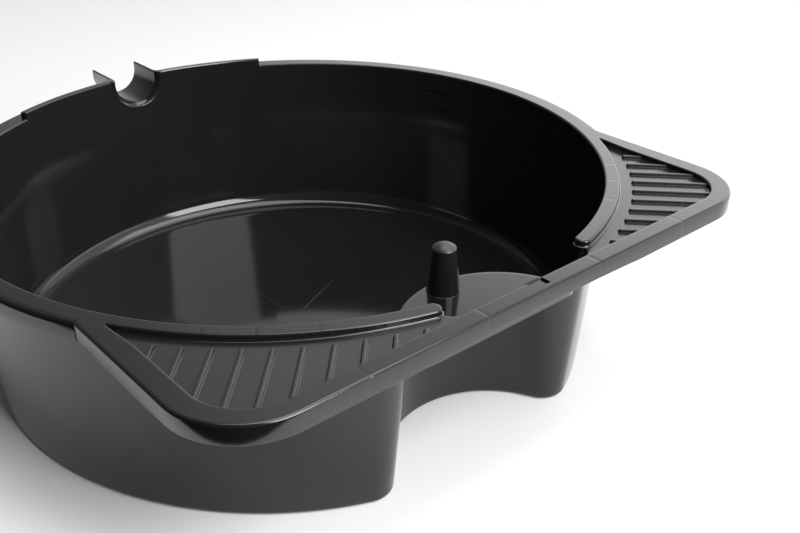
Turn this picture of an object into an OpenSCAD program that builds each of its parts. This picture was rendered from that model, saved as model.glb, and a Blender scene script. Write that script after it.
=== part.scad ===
// Round oil drain pan, moulded in one skin of even thickness.
// Origin: basin axis on the plane the pan stands on. +Z is up, the straight front bar faces -Y
// and the pour notch faces +Y. All sizes are in millimetres. The pan is symmetric about X = 0.

/* [Basin] */
// Outer radius of the basin wall where it meets the ground plane
base_r = 164.25; // [155:0.25:165]
// Height of the rim's top face above the ground
rim_z = 104; // [100:1:120]
// Thickness of the moulded skin
skin = 2.5; // [2:0.1:3]
// Draft of every standing wall, in degrees
draft = 4.6; // [3:0.1:5]
// Radius of the curve between the floor and the walls, inside
curve_r = 10; // [8:0.5:12]
// Radius of the outside edge under the pan
foot_r = 3; // [2:0.5:4]

/* [Rim] */
// Inner radius of the rim's top face
rim_inner_r = 170; // [168:0.5:171]
// Outer radius of the rim's top face
rim_outer_r = 181.4; // [180:0.2:184]
// Depth of the skirt, from the rim's top face down to its lower edge
skirt_h = 8.8; // [7:0.2:12]
// Thickness of the skirt
skirt_t = 2.2; // [1.8:0.1:2.6]
// Rounding of the rim's outer top edge
rim_edge_r = 2; // [1:0.25:2.5]
// Where the round rim stops and the front wings start, in degrees below the X axis
rim_end_a = 28; // [26:0.5:29]
// Height of the splash lip above the rim
lip_h = 4.1; // [3:0.1:6]
// Half of the arc that the splash lip covers, in degrees
lip_half_a = 28.9; // [25:0.1:35]

/* [Pour notch] */
// Inner radius of the half-round channel that a bottle's neck rests in
notch_r = 14.1; // [13:0.1:16]
// Height of the channel's axis above the ground
notch_z = 104.2; // [104:0.1:106]
// Distance from the basin axis to the channel's outer end
notch_end_y = 201; // [192:0.5:203]
// Thickness of the channel's wall
channel_t = 1.8; // [1.5:0.1:2.5]
// Radius of the flare between the channel and the basin's inside
flare_r = 3; // [2.5:0.25:5]

/* [Front wings] */
// Half of the width across the two wings
wing_x = 160; // [158:0.5:162]
// Distance from the basin axis to the front bar's outer face
bar_y = 188; // [186:0.5:190]
// Radius of the wings' outer corners
corner_r = 35.2; // [32:0.2:38]
// Width of the raised border along the bar and the wings' sides
border_w = 9.2; // [8.6:0.2:9.4]
// Depth of the tray floors below the rim's top face
tray_depth = 2.9; // [2.5:0.1:3.5]
// Outer radius of the raised bead between the basin and the trays
bead_r = 177.5; // [176.5:0.5:178.5]
// Half of the gap between the two ends of the bead
bead_gap_x = 43; // [41:0.5:44]
// Height of the tray ribs
rib_h = 1.5; // [1:0.1:2.4]
// Direction of the tray ribs, in degrees from the X axis
rib_a = 46.5; // [44:0.5:48]
// Distance from one rib to the next
rib_pitch = 11.46; // [11:0.02:12]

/* [Hand recess] */
// Radius of the hand recess at the ground plane
recess_r0 = 52.75; // [51:0.25:54]
// Distance from the basin axis to the recess's own axis
recess_y = 165.4; // [164:0.2:167]
// Height of the platform over the hand recess
platform_z = 75.8; // [70:0.2:78]

/* [Filter peg] */
// Distance from the basin axis to the peg
peg_y = 125; // [124.5:0.5:128]
// Radius of the peg at its foot
peg_r1 = 8; // [7:0.1:8.4]
// Radius of the peg under its cap
peg_r2 = 6; // [5:0.1:6.5]
// Height of the peg above the platform
peg_h = 24.8; // [20:0.1:26]

/* [Hang slot] */
// Length of the hang slot along the bar
slot_l = 9.6; // [8:0.2:12]
// Width of the hang slot
slot_w = 6.4; // [5:0.2:6.6]
// Distance from the basin axis to the middle of the slot
slot_y = 181.3; // [180.9:0.1:181.6]

/* [Volume marks] */
// Height of the lowest mark
mark_z0 = 36.7; // [34:0.1:38]
// Height from one mark to the next
mark_step = 11.15; // [10:0.05:11.5]
// Number of marks
mark_n = 6; // [4:1:6]

/* [Hidden] */
$fn = 96;
eps = 0.01;
big = 260;
taper = tan(draft);
base_h = skin + curve_r;
deck_z = rim_z - tray_depth;
deck_under_z = deck_z - skin;
skirt_z = rim_z - skirt_h;
lip_z = rim_z + lip_h;
lip_start_a = 90 - lip_half_a;
inner_edge_r = 1.2;
border_edge_r = 0.8;
ceiling_z = platform_z - skin;
channel_r = notch_r + channel_t;
flare_outer_r = notch_r + flare_r;
flare_y = rim_inner_r - 1;
channel_y = flare_y + flare_r;
corner_x = wing_x - corner_r;
corner_y = corner_r - bar_y;
tray_x = wing_x - border_w;
tray_y = border_w - bar_y;

// The rounded posts where the recess meets the basin wall touch both of them at every height.
post_r0 = base_h;
post_y = (pow(recess_r0 + post_r0, 2) - pow(base_r - post_r0, 2) - pow(recess_y, 2)) / (2 * recess_y);
post_x = sqrt(pow(base_r - post_r0, 2) - pow(post_y, 2));
post_wall_a = atan2(post_y, post_x);
post_recess_a = atan2(-recess_y - post_y, -post_x);
recess_start_a = atan2(post_y + recess_y, post_x);

// The sloped panel that closes the basin behind the bar leaves finger room under it.
panel_foot_y = 162.6;
panel_head_y = 175.5;
panel_t = 2.7;
ledge_y = panel_head_y;

gusset_z = 80;
gusset_t = 2;
peg_dome_h = 1.5;
peg_edge_r = 1.8;
rib_n = 10;
rib_first = -23.9;
rib_foot_w = 2.3;
rib_top_w = 1.4;
rib_inner_r = 183.7;
mark_t = 0.4;
mark_w = 1;
mark_start_a = 13.7;
mark_arc = 8.4;
arc_steps = 8;

// Outer radius of the basin wall, radius of the recess and radius of a post at height z.
function wall_r(z) = base_r + z * taper;
function recess_r(z) = recess_r0 - z * taper;
function post_r(z) = post_r0 + z * taper;
// Points along an arc from angle a0 to angle a1.
function arc(x, y, r, a0, a1) =
    [for (i = [0:arc_steps]) let (a = a0 + (a1 - a0) * i / arc_steps) [x + r * cos(a), y + r * sin(a)]];

// A profile turned about Z from angle a0 to angle a1.
module turn(a0, a1, points) {
    rotate([0, 0, a0]) rotate_extrude(angle = a1 - a0) polygon(points);
}

module pan_colour() {
    color([0.13, 0.13, 0.14]) children();
}

module trim_colour() {
    color([0.22, 0.22, 0.24]) children();
}

module basin_solid() {
    cylinder(h = rim_z, r1 = wall_r(0), r2 = wall_r(rim_z));
}

module along_y(y, z) {
    translate([0, y, z]) rotate([-90, 0, 0]) children();
}

// ---- Basin ----

module basin_floor() {
    pan_colour() linear_extrude(skin) difference() {
        circle(base_r - base_h);
        translate([0, -recess_y]) circle(recess_r0 + base_h);
    }
}

module base_curve() {
    pan_colour() turn(post_wall_a, 180 - post_wall_a, concat(
        [[base_r - base_h, 0]],
        arc(base_r - foot_r + taper * foot_r, foot_r, foot_r, -90, 0),
        [[wall_r(base_h), base_h]],
        arc(wall_r(base_h) - base_h, base_h, curve_r, 0, -90),
        [[base_r - base_h, skin]]));
}

module wall_sector(a0, a1) {
    turn(a0, a1, [
        [wall_r(base_h), base_h],
        [wall_r(deck_z), deck_z],
        [wall_r(deck_z) - skin, deck_z],
        [wall_r(base_h) - skin, base_h]]);
}

module wall_back() {
    pan_colour() difference() {
        wall_sector(lip_start_a, 180 - lip_start_a);
        along_y(rim_inner_r / 2, notch_z) cylinder(h = rim_inner_r, r = flare_outer_r);
    }
}

module wall_back_right() {
    pan_colour() wall_sector(rim_end_a / 2, lip_start_a);
}

module wall_right() {
    pan_colour() wall_sector(-rim_end_a, rim_end_a / 2);
}

module wall_front_right() {
    pan_colour() wall_sector(post_wall_a, -rim_end_a);
}

// ---- Hand recess and platform ----

module recess_wall() {
    pan_colour() translate([0, -recess_y, 0]) turn(recess_start_a, 180 - recess_start_a, concat(
        [[recess_r0 + base_h, 0], [recess_r0 + base_h, skin]],
        arc(recess_r(base_h) + base_h, base_h, curve_r, -90, -180),
        [[recess_r(ceiling_z) + skin, ceiling_z], [recess_r(ceiling_z), ceiling_z]],
        arc(recess_r0 + foot_r - taper * foot_r, foot_r, foot_r, 180, 270)));
}

module recess_post_right() {
    pan_colour() translate([post_x, post_y, 0]) turn(post_recess_a, post_wall_a, concat(
        [[0, 0]],
        arc(post_r0 - foot_r + taper * foot_r, foot_r, foot_r, -90, 0),
        [[post_r(ceiling_z), ceiling_z], [post_r(ceiling_z) - skin, ceiling_z]],
        arc(post_r(base_h) - base_h, base_h, curve_r, 0, -90),
        [[0, skin]]));
}

// Basin wall beside the recess, over it, with the flat cheek that carries it out to the bar.
module recess_cheek_right() {
    pan_colour() {
        intersection() {
            turn(post_wall_a - 15, post_wall_a, [
                [wall_r(ceiling_z), ceiling_z],
                [wall_r(deck_z), deck_z],
                [wall_r(deck_z) - skin, deck_z],
                [wall_r(ceiling_z) - skin, ceiling_z]]);
            translate([bead_gap_x, -big, 0]) cube([big, big, rim_z]);
        }
        difference() {
            translate([bead_gap_x, 0, 0]) rotate([90, 0, 90]) linear_extrude(skin) polygon([
                [-panel_foot_y, ceiling_z],
                [-panel_foot_y - panel_t, ceiling_z],
                [-panel_foot_y - panel_t, platform_z],
                [-panel_head_y - panel_t, deck_under_z],
                [-panel_foot_y, deck_under_z]]);
            basin_solid();
        }
    }
}

module filter_platform() {
    recess_edge_r = recess_r(ceiling_z) + skin;
    pan_colour() translate([0, 0, ceiling_z]) linear_extrude(skin) intersection() {
        union() {
            intersection() {
                translate([0, -recess_y]) circle(recess_edge_r);
                polygon([
                    [0, -recess_y],
                    [post_x, post_y],
                    [post_x, 0],
                    [-post_x, 0],
                    [-post_x, post_y]]);
            }
            difference() {
                polygon([
                    [0, -recess_y],
                    [post_x, post_y],
                    [post_x, -recess_y],
                    [-post_x, -recess_y],
                    [-post_x, post_y]]);
                for (side = [-1, 1])
                    translate([side * post_x, post_y]) circle(post_r(ceiling_z) - skin);
            }
        }
        union() {
            circle(wall_r(ceiling_z) - skin);
            translate([-bead_gap_x, -panel_foot_y - panel_t]) square([2 * bead_gap_x, recess_r0]);
        }
        translate([-big / 2, -panel_foot_y - panel_t]) square([big, big]);
    }
}

module front_panel() {
    pan_colour() translate([-bead_gap_x, 0, 0]) rotate([90, 0, 90])
        linear_extrude(2 * bead_gap_x) polygon([
            [-panel_foot_y, platform_z],
            [-panel_foot_y - panel_t, platform_z],
            [-panel_head_y - panel_t, deck_under_z],
            [-panel_head_y, deck_under_z]]);
}

module opening_ledge() {
    pan_colour() difference() {
        translate([-bead_gap_x, tray_y, deck_under_z])
            cube([2 * bead_gap_x, -ledge_y - tray_y, skin]);
        hang_slot_hole();
    }
}

module filter_peg() {
    dome_r = (pow(peg_r2 - peg_edge_r, 2) + pow(peg_dome_h, 2)) / (2 * peg_dome_h);
    dome_a = asin((peg_r2 - peg_edge_r) / dome_r);
    cap_z = peg_h - peg_dome_h;
    trim_colour() translate([0, -peg_y, platform_z]) rotate_extrude() polygon(concat(
        [[0, 0], [peg_r1, 0]],
        arc(peg_r2 - peg_edge_r, cap_z - peg_edge_r, peg_edge_r, 0, 90),
        [for (i = [1:arc_steps]) let (a = dome_a * (1 - i / arc_steps))
            [dome_r * sin(a), peg_h - dome_r * (1 - cos(a))]]));
}

// ---- Rim ----

module rim_sector(a0, a1) {
    turn(a0, a1, concat(
        [[rim_inner_r, deck_z]],
        arc(rim_inner_r + inner_edge_r, rim_z - inner_edge_r, inner_edge_r, 180, 90),
        arc(rim_outer_r - rim_edge_r, rim_z - rim_edge_r, rim_edge_r, 90, 0),
        [[rim_outer_r, skirt_z],
         [rim_outer_r - skirt_t, skirt_z],
         [rim_outer_r - skirt_t, deck_z]]));
}

// A U-shaped space along Y, open at the top, that the pour channel and its flare need.
module notch_space(y0, y1, r) {
    along_y(y0, notch_z) cylinder(h = y1 - y0, r = r);
    translate([-r, y0, notch_z]) cube([2 * r, y1 - y0, big]);
}

module notch_hole() {
    notch_space(rim_inner_r / 2, channel_y, flare_outer_r);
    notch_space(channel_y - eps, channel_y + big, channel_r);
}

module rim_right() {
    pan_colour() rim_sector(-rim_end_a, lip_start_a);
}

module rim_back_right() {
    pan_colour() difference() {
        rim_sector(lip_start_a, 90);
        notch_hole();
    }
}

module splash_lip_right() {
    band_r0 = rim_inner_r + inner_edge_r;
    band_r1 = band_r0 + skin + border_edge_r;
    pan_colour() difference() {
        turn(lip_start_a, 90, concat(
            [[band_r0, rim_z]],
            arc(band_r0 + border_edge_r, lip_z - border_edge_r, border_edge_r, 180, 90),
            arc(band_r1 - border_edge_r, lip_z - border_edge_r, border_edge_r, 90, 0),
            [[band_r1, rim_z]]));
        notch_hole();
    }
}

module pour_channel() {
    length = notch_end_y - channel_y;
    pan_colour() {
        difference() {
            along_y(channel_y, notch_z) difference() {
                cylinder(h = length, r = channel_r);
                translate([0, 0, -1]) cylinder(h = length + 2, r = notch_r);
            }
            translate([-big / 2, 0, notch_z]) cube(big);
        }
        for (x = [-channel_r, notch_r])
            translate([x, channel_y, notch_z]) cube([channel_t, length, lip_z - notch_z]);
    }
}

module pour_flare() {
    profile = concat(
        arc(flare_outer_r, channel_y, flare_r, 180, 270),
        arc(flare_outer_r, channel_y, flare_r - channel_t, 270, 180));
    pan_colour() {
        difference() {
            along_y(0, notch_z) rotate_extrude() polygon(profile);
            translate([-big / 2, 0, notch_z]) cube(big);
        }
        for (side = [0, 1])
            mirror([side, 0, 0]) translate([0, 0, notch_z])
                linear_extrude(lip_z - notch_z) polygon(profile);
    }
}

module gusset_right() {
    pan_colour() rotate([0, 0, -rim_end_a]) rotate([90, 0, 0])
        linear_extrude(gusset_t) polygon([
            [wall_r(gusset_z), gusset_z],
            [rim_outer_r - skirt_t, skirt_z],
            [rim_outer_r - skirt_t, deck_under_z],
            [wall_r(deck_under_z), deck_under_z]]);
}

// ---- Front wings and bar ----

// Section of the raised border: s is the distance inwards from its outer face.
function border_section() = concat(
    [[0, skirt_z]],
    arc(rim_edge_r, rim_z - rim_edge_r, rim_edge_r, 180, 90),
    arc(border_w - border_edge_r, rim_z - border_edge_r, border_edge_r, 90, 0),
    [[border_w, deck_under_z],
     [border_w - skin, deck_under_z],
     [border_w - skin, rim_z - skin],
     [skirt_t, rim_z - skin],
     [skirt_t, skirt_z]]);

// Everything in front of the plane where the right end of the round rim stops.
module before_rim_end() {
    rotate([0, 0, -rim_end_a]) translate([-big / 2, -big, 0]) cube([1.5 * big, big, lip_z]);
}

module side_border_right() {
    pan_colour() intersection() {
        difference() {
            translate([wing_x, 0, 0]) rotate([90, 0, 0]) mirror([1, 0, 0])
                linear_extrude(-corner_y) polygon(border_section());
            cylinder(h = lip_z, r = bead_r);
        }
        before_rim_end();
    }
}

module corner_border_right() {
    pan_colour() translate([corner_x, corner_y, 0])
        turn(-90, 0, [for (p = border_section()) [corner_r - p[0], p[1]]]);
}

module hang_slot_hole() {
    hole_h = rim_z - deck_under_z + 2;
    translate([0, -slot_y, deck_under_z - 1]) {
        translate([(slot_w - slot_l) / 2, -slot_w / 2, 0]) cube([slot_l - slot_w, slot_w, hole_h]);
        for (side = [-1, 1])
            translate([side * (slot_l - slot_w) / 2, 0, 0]) cylinder(h = hole_h, d = slot_w);
    }
}

module front_bar() {
    pan_colour() difference() {
        translate([-corner_x, -bar_y, 0]) rotate([90, 0, 90])
            linear_extrude(2 * corner_x) polygon(border_section());
        hang_slot_hole();
    }
}

// Plan of the right tray, inside its border. It runs in under the bead.
module tray_plan() {
    translate([bead_gap_x, tray_y]) square([corner_x - bead_gap_x, -tray_y]);
    translate([bead_gap_x, corner_y]) square([tray_x - bead_gap_x, -corner_y]);
    translate([corner_x, corner_y]) circle(corner_r - border_w);
}

module tray_right() {
    trim_colour() intersection() {
        difference() {
            translate([0, 0, deck_under_z]) linear_extrude(skin) tray_plan();
            basin_solid();
        }
        before_rim_end();
    }
}

module bead_right() {
    bead_end_a = -acos(bead_gap_x / (rim_inner_r + bead_r) * 2);
    pan_colour() turn(bead_end_a, -rim_end_a, concat(
        [[rim_inner_r, deck_z]],
        arc(rim_inner_r + inner_edge_r, rim_z - inner_edge_r, inner_edge_r, 180, 90),
        arc(bead_r - border_edge_r, rim_z - border_edge_r, border_edge_r, 90, 0),
        [[bead_r, deck_z]]));
}

// One rib of the right tray: it points at the basin and ends in the tray's border.
module rib_right(i) {
    offset_n = rib_first + rib_pitch * i;
    inner_t = sqrt(pow(rib_inner_r, 2) - pow(offset_n, 2));
    trim_colour() intersection() {
        mirror([1, 0, 0]) rotate([0, 0, rib_a]) translate([-inner_t, -offset_n, deck_z]) {
            rotate([90, 0, -90]) linear_extrude(big / 2) polygon([
                [-rib_foot_w / 2, 0],
                [rib_foot_w / 2, 0],
                [rib_top_w / 2, rib_h],
                [-rib_top_w / 2, rib_h]]);
            cylinder(h = rib_h, d1 = rib_foot_w, d2 = rib_top_w);
        }
        translate([0, 0, deck_z]) linear_extrude(rib_h) tray_plan();
    }
}

// ---- Volume marks on the basin's inside ----

module volume_marks() {
    trim_colour() for (i = [0:mark_n - 1]) {
        z0 = mark_z0 + mark_step * i;
        z1 = z0 + mark_w;
        turn(mark_start_a, mark_start_a + mark_arc, [
            [wall_r(z0) - skin, z0],
            [wall_r(z1) - skin, z1],
            [wall_r(z1) - skin - mark_t, z1],
            [wall_r(z0) - skin - mark_t, z0]]);
    }
}

module left_of() {
    mirror([1, 0, 0]) children();
}

basin_floor();
base_curve();
wall_back();
left_of() wall_back_right();  // wall_back_left
wall_back_right();
left_of() wall_right();  // wall_left
wall_right();
left_of() wall_front_right();  // wall_front_left
wall_front_right();
recess_wall();
left_of() recess_post_right();  // recess_post_left
recess_post_right();
left_of() recess_cheek_right();  // recess_cheek_left
recess_cheek_right();
filter_platform();
front_panel();
opening_ledge();
filter_peg();
left_of() rim_right();  // rim_left
rim_right();
left_of() rim_back_right();  // rim_back_left
rim_back_right();
left_of() splash_lip_right();  // splash_lip_left
splash_lip_right();
pour_channel();
pour_flare();
left_of() bead_right();  // bead_left
bead_right();
left_of() tray_right();  // tray_left
tray_right();
left_of() side_border_right();  // side_border_left
side_border_right();
left_of() corner_border_right();  // corner_border_left
corner_border_right();
front_bar();
left_of() gusset_right();  // gusset_left
gusset_right();
volume_marks();
for (i = [1:rib_n]) {
    left_of() rib_right(i - 1);
    rib_right(i - 1);
}
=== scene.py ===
import math

import bmesh
import bpy
from mathutils import Matrix, Vector


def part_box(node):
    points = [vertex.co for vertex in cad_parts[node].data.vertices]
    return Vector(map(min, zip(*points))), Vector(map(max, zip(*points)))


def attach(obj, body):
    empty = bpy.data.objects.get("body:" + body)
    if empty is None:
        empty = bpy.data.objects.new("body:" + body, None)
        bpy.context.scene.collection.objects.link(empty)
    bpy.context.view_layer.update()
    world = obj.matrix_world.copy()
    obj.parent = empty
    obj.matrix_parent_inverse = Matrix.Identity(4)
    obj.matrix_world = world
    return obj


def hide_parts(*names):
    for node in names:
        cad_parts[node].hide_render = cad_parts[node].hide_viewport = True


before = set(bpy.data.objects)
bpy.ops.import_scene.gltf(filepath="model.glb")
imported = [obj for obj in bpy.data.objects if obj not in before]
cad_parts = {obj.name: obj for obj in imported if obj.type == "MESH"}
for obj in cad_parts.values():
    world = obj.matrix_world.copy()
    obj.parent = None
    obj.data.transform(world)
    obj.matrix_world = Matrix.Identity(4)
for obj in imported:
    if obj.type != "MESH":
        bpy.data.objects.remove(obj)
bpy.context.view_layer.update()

# The looks of a round oil drain pan. All shapes are worked out in millimetres in the CAD frame
# (basin axis = Z, ground = 0, front bar towards -Y) and turned into metres when a mesh is made.

MM = 0.001


# ---- Sizes, read from the CAD frame ----

def low(node, axis):
    """Lowest place of a CAD node along an axis, in millimetres."""
    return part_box(node)[0]["XYZ".index(axis)] / MM


def high(node, axis):
    """Highest place of a CAD node along an axis, in millimetres."""
    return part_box(node)[1]["XYZ".index(axis)] / MM


TAPER = math.tan(math.radians(4.6))      # draft of every standing wall
SKIN = high("basin_floor", "Z")          # thickness of the moulding
BASE_H = high("base_curve", "Z")         # top of the curve between floor and wall
CURVE_R = BASE_H - SKIN                  # radius of that curve, inside
FOOT_R = 3.0                             # outer curve from the wall to the underside
BASE_R = high("wall_right", "X") - high("wall_right", "Z") * TAPER
RIM_Z = high("rim_right", "Z")
RIM_R = high("rim_right", "X")
RIM_IN = 170.0                           # inner radius of the rim's top face
RIM_EDGE = 2.0                           # rounding of the rim's outer edge
LIP_Z = high("splash_lip_right", "Z")
SKIRT_Z = low("front_bar", "Z")
SKIRT_T = 2.2                            # thickness of the skirts
SKIRT_EDGE = 0.6                         # rounding of their lower edges
DECK_Z = high("tray_right", "Z")
DECK_UNDER = low("tray_right", "Z")
BEAD_R = 177.5                           # outer radius of the bead beside the trays
RIM_END = 28.0                           # degrees below the X axis where the wings start
LIP_HALF = 28.9                          # half of the splash lip's arc, in degrees
WING_X = high("side_border_right", "X")
BAR_Y = -low("front_bar", "Y")
CORNER_X = high("front_bar", "X")
CORNER_R = WING_X - CORNER_X
BORDER_W = high("front_bar", "Y") + BAR_Y
NOTCH_OUT_R = high("pour_channel", "X")
CHANNEL_T = 1.8                          # thickness of the channel's wall
NOTCH_R = NOTCH_OUT_R - CHANNEL_T
NOTCH_Z = low("pour_channel", "Z") + NOTCH_OUT_R
NOTCH_END = high("pour_channel", "Y")
FLARE_R = high("pour_flare", "X") - NOTCH_R
FLARE_LEN = 6.5                          # how far the flare reaches along the channel
RECESS_R = 52.75                         # radius of the hand recess at the ground
RECESS_Y = 165.4                         # distance of its axis from the basin's axis
PLATFORM_Z = high("filter_platform", "Z")
CEILING_Z = PLATFORM_Z - SKIN
PEG_Y = (low("filter_peg", "Y") + high("filter_peg", "Y")) / 2
PEG_R = (high("filter_peg", "X") - low("filter_peg", "X")) / 2
PEG_CAP_R = 6.0                          # radius of the peg under its cap
PEG_TOP = high("filter_peg", "Z")
PANEL_FOOT_Y = -high("front_panel", "Y")
PANEL_HEAD_Y = -high("opening_ledge", "Y")
PANEL_T = 2.7                            # depth of the sloped panel behind the bar
SLOT_X = 4.8                             # half of the hang slot's length
SLOT_S = 3.5                             # distance of the slot from the bar's front face
RIB_N = 10
RIB_TOP = high("rib_left_5", "Z")
RIB_A = 46.5                             # direction of the ribs, in degrees
RIB_FIRST = -23.9                        # distance of the first rib's line from the basin's axis
RIB_PITCH = 11.46                        # from one rib to the next
RIB_START_R = 183.7                      # radius where the ribs start
CREASES_X = (34.4, 95.6)                 # fine mould lines across the bar
CREASES_A = (-44.0, -51.0, -59.0)        # and across the beads, in degrees
CREASE = 0.03                            # depth of those lines
JOINT = 0.12                             # a bevel this high shows where each wing joins the round rim
SIDE_EXTRA = 1.7                         # the border is this much wider along the sides of the wings
SINK = 0.02                              # edges that meet a flat sheet end this far under it

# Rounded posts on both sides of the hand recess, tangent to the recess and to the basin wall.
POST_R = BASE_H
POST_Y = ((RECESS_R + POST_R) ** 2 - (BASE_R - POST_R) ** 2 - RECESS_Y ** 2) / (2 * RECESS_Y)
POST_X = math.sqrt((BASE_R - POST_R) ** 2 - POST_Y ** 2)
POST_WALL_A = math.degrees(math.atan2(POST_Y, POST_X))
POST_RECESS_A = math.degrees(math.atan2(-RECESS_Y - POST_Y, -POST_X))
RECESS_A = math.degrees(math.atan2(POST_Y + RECESS_Y, POST_X))

LIP_EDGE = 1.2                           # rounding of the rim's inner edge
EDGE = 0.8                               # rounding of the bead, border and ledge edges
LIP_OUT = 174.4                          # outer foot of the splash lip
WALL_TOP = RIM_Z - LIP_EDGE              # where the basin wall ends and the inner edge begins
FINE_Z = 82.0                            # from here up the wall has fine rows, for the notch
NOTCH_A = 8.0                            # half of the arc with fine columns, in degrees
TRAY_CURVE = 0.9                         # curve at the bead's foot
TRAY_IN = 0.4                            # the trays' sheet starts this far inside the border
TIP_Y = -math.sqrt(BEAD_R ** 2 - (WING_X - BORDER_W) ** 2)   # tray's tip between bead and border
TIP_A = math.degrees(math.asin(TIP_Y / BEAD_R))
BEAD_END_A = -74.44                      # angle where the right bead ends
BEAD_MID = (RIM_IN + BEAD_R) / 2         # radius of the bead's middle line
BEND_W = 8.2                             # width of the bends beside the front opening
FRONT_OUT_A = BEAD_END_A + 0.8           # angle where the outside of the wall meets those bends
PLATFORM_FOOT_Z = PLATFORM_Z - 1.0       # walls over the platform start a little under its top
PLATFORM_OVER = 1.3                      # and the platform's top runs this far into them


# ---- Mesh tools ----

def spread(a, b, step):
    """Evenly spaced values from a to b, about one step apart."""
    n = max(1, round(abs(b - a) / step))
    return [a + (b - a) * i / n for i in range(n + 1)]


def arc(x, y, r, a0, a1, n=6):
    """Points along an arc round (x, y) from angle a0 to angle a1, in n steps."""
    angles = [math.radians(a0 + (a1 - a0) * i / n) for i in range(n + 1)]
    return [(x + r * math.cos(a), y + r * math.sin(a)) for a in angles]


def polar(r, angle, z, cx=0.0, cy=0.0):
    """The point at a radius and angle round (cx, cy), at height z."""
    a = math.radians(angle)
    return (cx + r * math.cos(a), cy + r * math.sin(a), z)


class Skin:
    """Collects sheets of quads and flat caps, in millimetres, and makes one smooth mesh of them."""

    WELD = 0.004                         # points closer than this become one
    SHORTEST = 0.002                     # edges shorter than this go

    def __init__(self):
        self.points = []
        self.faces = []

    def add(self, points):
        start = len(self.points)
        self.points += points
        return range(start, start + len(points))

    def sheet(self, columns, flip=False):
        rows = [self.add(c) for c in columns]
        for a, b in zip(rows, rows[1:]):
            for j in range(len(a) - 1):
                quad = (a[j], a[j + 1], b[j + 1], b[j])
                self.faces.append(quad[::-1] if flip else quad)

    def cap(self, loop, flip=False):
        face = tuple(self.add(loop))
        self.faces.append(face[::-1] if flip else face)

    def build(self, name, material, sharp=32.0, edit=None):
        mesh = bpy.data.meshes.new(name)
        bm = bmesh.new()
        verts = [bm.verts.new(p) for p in self.points]
        for f in self.faces:
            if len(set(f)) > 2:
                bm.faces.new([verts[i] for i in f])
        bmesh.ops.remove_doubles(bm, verts=bm.verts, dist=self.WELD)
        bmesh.ops.dissolve_degenerate(bm, edges=bm.edges, dist=self.SHORTEST)
        if edit:
            edit(bm)
        limit = math.radians(sharp)
        for e in bm.edges:
            e.smooth = len(e.link_faces) == 2 and e.calc_face_angle(0) < limit
        for f in bm.faces:
            f.smooth = True
        bmesh.ops.scale(bm, vec=(MM, MM, MM), verts=bm.verts)
        bm.to_mesh(mesh)
        bm.free()
        piece = bpy.data.objects.new(name, mesh)
        bpy.context.scene.collection.objects.link(piece)
        mesh.materials.append(material)
        return piece


# ---- Basin: sections and plan ----

def wall_in(z):
    """Inner radius of the basin wall at height z."""
    return BASE_R + z * TAPER - SKIN


def panel_y(z):
    """Where the front panel's inner face stands at height z."""
    t = min(1.0, max(0.0, (z - PLATFORM_Z) / (DECK_UNDER - PLATFORM_Z)))
    return -PANEL_FOOT_Y + t * (PANEL_FOOT_Y - PANEL_HEAD_Y)


def fillet_section():
    """Inner curve from the floor up to the wall, as (offset from BASE_R, z)."""
    return [(-BASE_H, SKIN)] + arc(BASE_H * TAPER - BASE_H, BASE_H, CURVE_R, -90, 0, 14)


def inner_wall(z0, z1, step):
    """Inside of a wall above z0 and up to z1, as (offset from the wall's outside at the ground, z)."""
    return [(z * TAPER - SKIN, z) for z in spread(z0, z1, step)][1:]


def foot_section():
    """Outer foot curve from the wall down to the underside, as (offset, z)."""
    return arc(TAPER * FOOT_R - FOOT_R, FOOT_R, FOOT_R, 0, -90, 6) + [(-BASE_H, 0.0)]


def top_section(lip):
    """From the wall's top over the inner edge, or over the splash lip, to LIP_OUT, as (r, z).
    Both have the same number of points, so that one sheet can hold them."""
    if lip:
        rise = 0.45
        face = [(RIM_IN + i * rise * TAPER, WALL_TOP + i * rise) for i in range(10)]
        over = [(RIM_IN + 0.42, LIP_Z - 0.5), (RIM_IN + 0.7, LIP_Z - 0.12), (RIM_IN + 1.3, LIP_Z),
                (RIM_IN + 3.3, LIP_Z), (RIM_IN + 4.0, LIP_Z - 0.3)]
        down = [(RIM_IN + 4.2, LIP_Z - 1.0), (RIM_IN + 4.35, RIM_Z + 0.3)]
        return face + over + down + [(LIP_OUT, RIM_Z)]
    edge = arc(RIM_IN + LIP_EDGE, WALL_TOP, LIP_EDGE, 180, 90, 6)
    flat = spread(RIM_IN + LIP_EDGE, LIP_OUT, (LIP_OUT - RIM_IN - LIP_EDGE) / 11)
    return edge + [(r, RIM_Z) for r in flat[1:]]


def main_inner(lip):
    """Inside of the basin from the floor over the wall's top to LIP_OUT, as (r, z)."""
    flat_to_wall = fillet_section() + inner_wall(BASE_H, FINE_Z, 8) + inner_wall(FINE_Z, WALL_TOP, 1.0)
    wall = [(BASE_R + d, z) for d, z in flat_to_wall]
    return wall[:-1] + top_section(lip)


def rim_section():
    """Rim from LIP_OUT over the edge and round the skirt to the wall's outside, as (r, z)."""
    inner = RIM_R - SKIRT_T
    return ([(LIP_OUT, RIM_Z), (RIM_R - 2 * RIM_EDGE, RIM_Z)]
            + arc(RIM_R - RIM_EDGE, RIM_Z - RIM_EDGE, RIM_EDGE, 90, 0, 6)
            + [(RIM_R, SKIRT_Z + 3)]
            + arc(RIM_R - SKIRT_EDGE, SKIRT_Z + SKIRT_EDGE, SKIRT_EDGE, 0, -90, 3)
            + arc(inner + SKIRT_EDGE, SKIRT_Z + SKIRT_EDGE, SKIRT_EDGE, -90, -180, 3)
            + [(inner, DECK_Z - 1)]
            + arc(inner - 1, DECK_Z - 1, 1, 0, 90, 3)
            + [(BASE_R + DECK_Z * TAPER + 1, DECK_Z), (BASE_R + (DECK_Z - 1) * TAPER, DECK_Z - 1)])


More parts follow.
